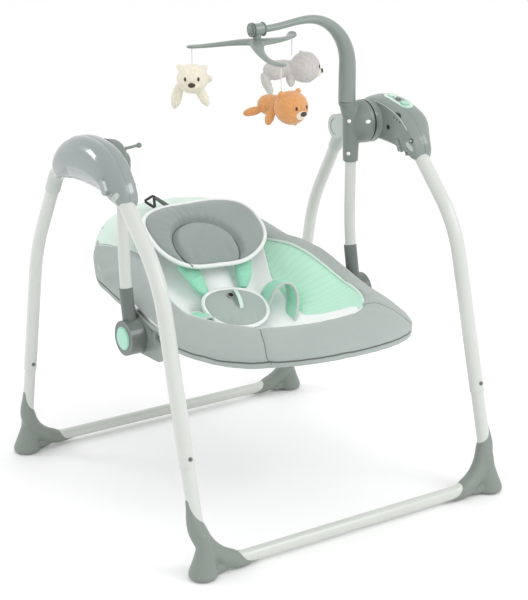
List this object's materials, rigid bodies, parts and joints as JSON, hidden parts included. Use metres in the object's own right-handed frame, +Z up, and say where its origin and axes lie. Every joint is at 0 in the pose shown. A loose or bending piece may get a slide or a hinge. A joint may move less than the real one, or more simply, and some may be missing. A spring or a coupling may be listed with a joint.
{
  "type": "electric baby swing",
  "caption": "Electric baby swing: folding tube frame, drive and idler housings, swinging reclining padded bucket seat, and a toy arch with a turning mobile.",
  "frame": {"origin": "on the floor, midway between the four feet", "axes": "+Z up, +Y towards the head end, +X towards the motor housing"},
  "size_m": [0.725, 0.734, 0.8829],
  "materials": {
    "frame_paint": "gloss off-white powder coat",
    "grey_plastic": "moulded grey-green plastic",
    "light_plastic": "moulded light grey plastic",
    "gloss_cover": "glossy grey cover",
    "dark_plastic": "moulded darker grey plastic",
    "mint_plastic": "mint plastic",
    "white_plastic": "white plastic",
    "foot_pad": "light grey rubber",
    "grey_fabric": "grey twill",
    "mint_fabric": "mint webbing and mesh",
    "white_fabric": "white cotton",
    "cream_plush": "short plush",
    "grey_plush": "short plush",
    "orange_plush": "short plush",
    "steel": "turned steel",
    "copper": "enamelled copper winding",
    "board": "green circuit board",
    "black_plastic": "black plastic",
    "cell": "printed metal jacket"
  },
  "bodies": {
    "front_frame": {"front_base_tube": "frame_paint", "front_leg_left": "frame_paint", "front_leg_right": "frame_paint", "front_feet": "grey_plastic", "front_foot_pads": "foot_pad", "motor_case_inner": "grey_plastic", "motor_case_outer": "grey_plastic", "idler_case_inner": "light_plastic", "idler_case_outer": "gloss_cover", "case_screws": "steel", "axle_bushes": "white_plastic", "drive_coil": "copper", "control_board": "board", "speaker": "black_plastic", "battery_cells": "cell", "battery_door": "grey_plastic", "control_panel": "mint_plastic", "power_jack": "black_plastic"},
    "power_button": {"power_button": "mint_plastic"},
    "speed_button": {"speed_button": "mint_plastic"},
    "music_button": {"music_button": "white_plastic"},
    "fold_button_left": {"fold_button_left": "light_plastic"},
    "fold_button_right": {"fold_button_right": "grey_plastic"},
    "snap_button_front_left": {"snap_button_front_left": "dark_plastic"},
    "snap_button_front_right": {"snap_button_front_right": "dark_plastic"},
    "rear_frame": {"rear_base_tube": "frame_paint", "rear_leg_left": "frame_paint", "rear_leg_right": "frame_paint", "rear_socket_left": "light_plastic", "rear_socket_right": "light_plastic", "rear_feet": "grey_plastic", "rear_foot_pads": "foot_pad"},
    "snap_button_rear_left": {"snap_button_rear_left": "dark_plastic"},
    "snap_button_rear_right": {"snap_button_rear_right": "dark_plastic"},
    "swing_carriage": {"hanger_hub_left": "dark_plastic", "hanger_hub_right": "dark_plastic", "swing_axles": "steel", "drive_magnet_arm": "steel", "hanger_tube_left": "frame_paint", "hanger_tube_right": "frame_paint", "recline_case_left": "grey_plastic", "recline_case_right": "grey_plastic", "toy_post": "grey_plastic", "toy_arch": "grey_plastic"},
    "recline_button_left": {"recline_button_left": "mint_plastic"},
    "recline_button_right": {"recline_button_right": "mint_plastic"},
    "seat": {"seat_hub_left": "grey_plastic", "seat_hub_right": "grey_plastic", "seat_frame": "steel", "seat_shell": "grey_fabric", "headrest": "grey_fabric", "harness": "mint_fabric", "crotch_pad": "grey_fabric"},
    "mobile": {"mobile_spider": "grey_plastic"},
    "toy_cream": {"toy_cream": "cream_plush", "toy_cream_string": "white_fabric"},
    "toy_grey": {"toy_grey": "grey_plush", "toy_grey_string": "white_fabric"},
    "toy_orange": {"toy_orange": "orange_plush", "toy_orange_string": "white_fabric"}
  },
  "joints": [
    {"name": "frame_fold", "type": "hinge", "parent": "front_frame", "child": "rear_frame", "pos_m": [0, 0.032, 0.665], "axis": [-1, 0, 0], "range_deg": [0, 45]},
    {"name": "seat_swing", "type": "hinge", "parent": "front_frame", "child": "swing_carriage", "pos_m": [0, 0.032, 0.665], "axis": [1, 0, 0], "range_deg": [-18, 18]},
    {"name": "seat_recline", "type": "hinge", "parent": "swing_carriage", "child": "seat", "pos_m": [0, 0.01, 0.328], "axis": [1, 0, 0], "range_deg": [-6, 14]},
    {"name": "mobile_spin", "type": "hinge", "parent": "swing_carriage", "child": "mobile", "pos_m": [0.039, 0.036, 0.85], "axis": [0, 0, 1], "continuous": true},
    {"name": "power_button_press", "type": "slide", "parent": "front_frame", "child": "power_button", "axis": [0, 0.2079, -0.9781], "range_m": [0, 0.0012], "stiffness_N_per_m": 400},
    {"name": "speed_button_press", "type": "slide", "parent": "front_frame", "child": "speed_button", "axis": [0, 0.2079, -0.9781], "range_m": [0, 0.0012], "stiffness_N_per_m": 400},
    {"name": "music_button_press", "type": "slide", "parent": "front_frame", "child": "music_button", "axis": [0, 0.2079, -0.9781], "range_m": [0, 0.0015], "stiffness_N_per_m": 400},
    {"name": "fold_button_left_press", "type": "slide", "parent": "front_frame", "child": "fold_button_left", "axis": [1, 0, 0], "range_m": [0, 0.004], "stiffness_N_per_m": 600},
    {"name": "fold_button_right_press", "type": "slide", "parent": "front_frame", "child": "fold_button_right", "axis": [1, 0, 0], "range_m": [0, 0.004], "stiffness_N_per_m": 600},
    {"name": "snap_button_front_left_press", "type": "slide", "parent": "front_frame", "child": "snap_button_front_left", "axis": [0, 0.9677, -0.2521], "range_m": [0, 0.003], "stiffness_N_per_m": 800},
    {"name": "snap_button_front_right_press", "type": "slide", "parent": "front_frame", "child": "snap_button_front_right", "axis": [0, 0.9677, -0.2521], "range_m": [0, 0.003], "stiffness_N_per_m": 800},
    {"name": "snap_button_rear_left_press", "type": "slide", "parent": "rear_frame", "child": "snap_button_rear_left", "axis": [0, 0.981, 0.1942], "range_m": [0, 0.003], "stiffness_N_per_m": 800},
    {"name": "snap_button_rear_right_press", "type": "slide", "parent": "rear_frame", "child": "snap_button_rear_right", "axis": [0, 0.981, 0.1942], "range_m": [0, 0.003], "stiffness_N_per_m": 800},
    {"name": "recline_button_left_press", "type": "slide", "parent": "swing_carriage", "child": "recline_button_left", "axis": [1, 0, 0], "range_m": [0, 0.004], "stiffness_N_per_m": 600},
    {"name": "recline_button_right_press", "type": "slide", "parent": "swing_carriage", "child": "recline_button_right", "axis": [-1, 0, 0], "range_m": [0, 0.004], "stiffness_N_per_m": 600},
    {"name": "toy_cream_swing", "type": "hinge", "parent": "mobile", "child": "toy_cream", "pos_m": [-0.05843, 0.10942, 0.8294], "axis": [0.5736, 0.8191, 0], "range_deg": [-30, 30]},
    {"name": "toy_grey_swing", "type": "hinge", "parent": "mobile", "child": "toy_grey", "pos_m": [0.1513, 0.08367, 0.8354], "axis": [-0.866, 0.5, 0], "range_deg": [-30, 30]},
    {"name": "toy_orange_swing", "type": "hinge", "parent": "mobile", "child": "toy_orange", "pos_m": [0.01156, -0.08287, 0.8164], "axis": [-0.1392, 0.9903, 0], "range_deg": [-30, 30]}
  ]
}
